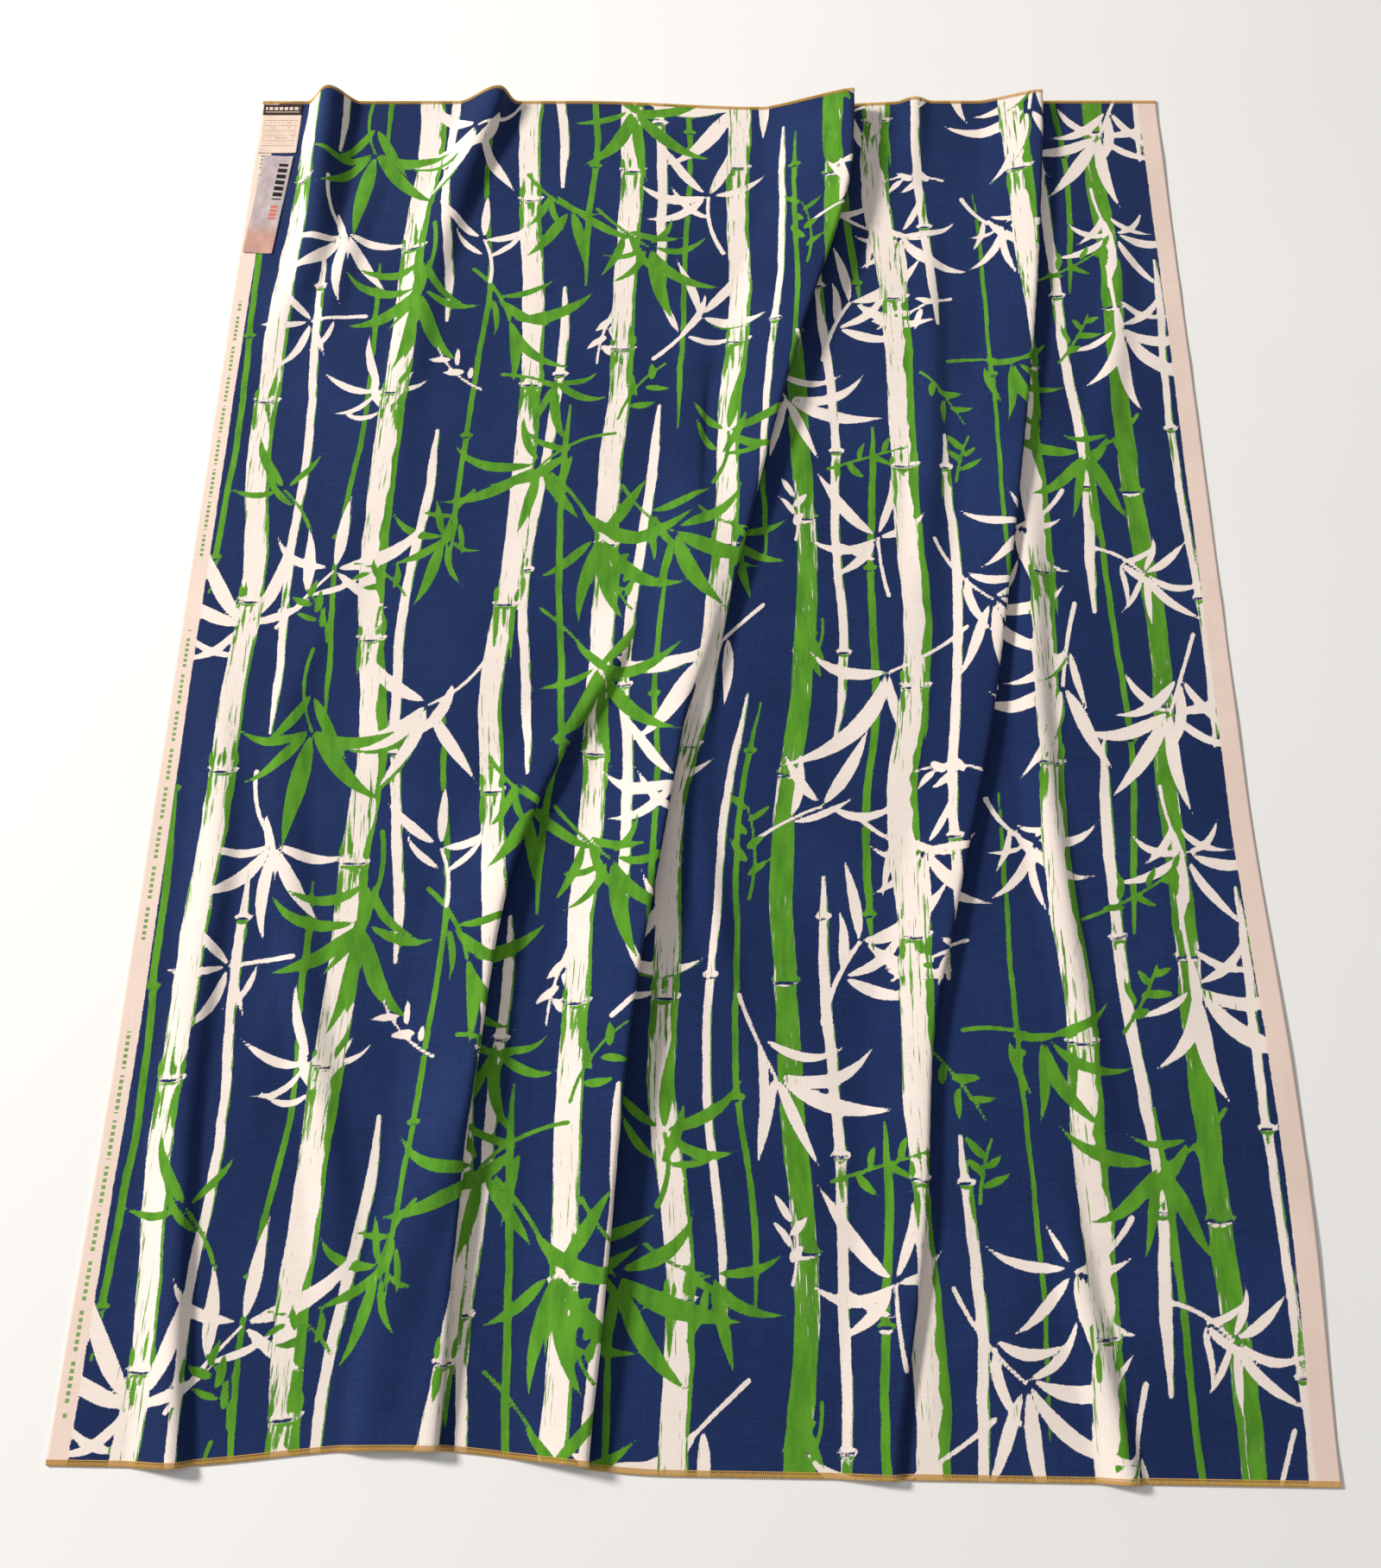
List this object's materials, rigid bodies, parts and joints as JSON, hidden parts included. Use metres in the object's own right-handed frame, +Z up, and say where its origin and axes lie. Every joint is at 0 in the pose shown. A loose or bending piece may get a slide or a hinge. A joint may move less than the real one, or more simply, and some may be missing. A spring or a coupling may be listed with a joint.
{
  "type": "printed fabric length",
  "caption": "Length of woven furnishing cloth with a bamboo grove print, overlocked cut ends, a paper ticket and a clear film label, laid out in loose lengthwise ripples.",
  "frame": {"origin": "on the floor under the middle of the laid cloth's bounding box", "axes": "+X across the cloth, +Y along it towards the end with the ticket, +Z up from the floor; the printed face is up"},
  "size_m": [1.16, 1.5816, 0.0322],
  "materials": {
    "printed_cloth": "plain-weave cotton, matte, screen printed in white and green on navy",
    "overlock_thread": "spun ochre sewing thread",
    "ticket_paper": "aged cream ticket paper with a dark printed band and ruled lines",
    "film": "clear creased film with printed bars"
  },
  "bodies": {
    "root": {"printed_cloth": "printed_cloth", "near_needle_thread": "overlock_thread", "near_upper_looper_thread": "overlock_thread", "near_lower_looper_thread": "overlock_thread", "far_needle_thread": "overlock_thread", "far_upper_looper_thread": "overlock_thread", "far_lower_looper_thread": "overlock_thread", "paper_ticket": "ticket_paper", "film_label": "film"}
  },
  "joints": []
}
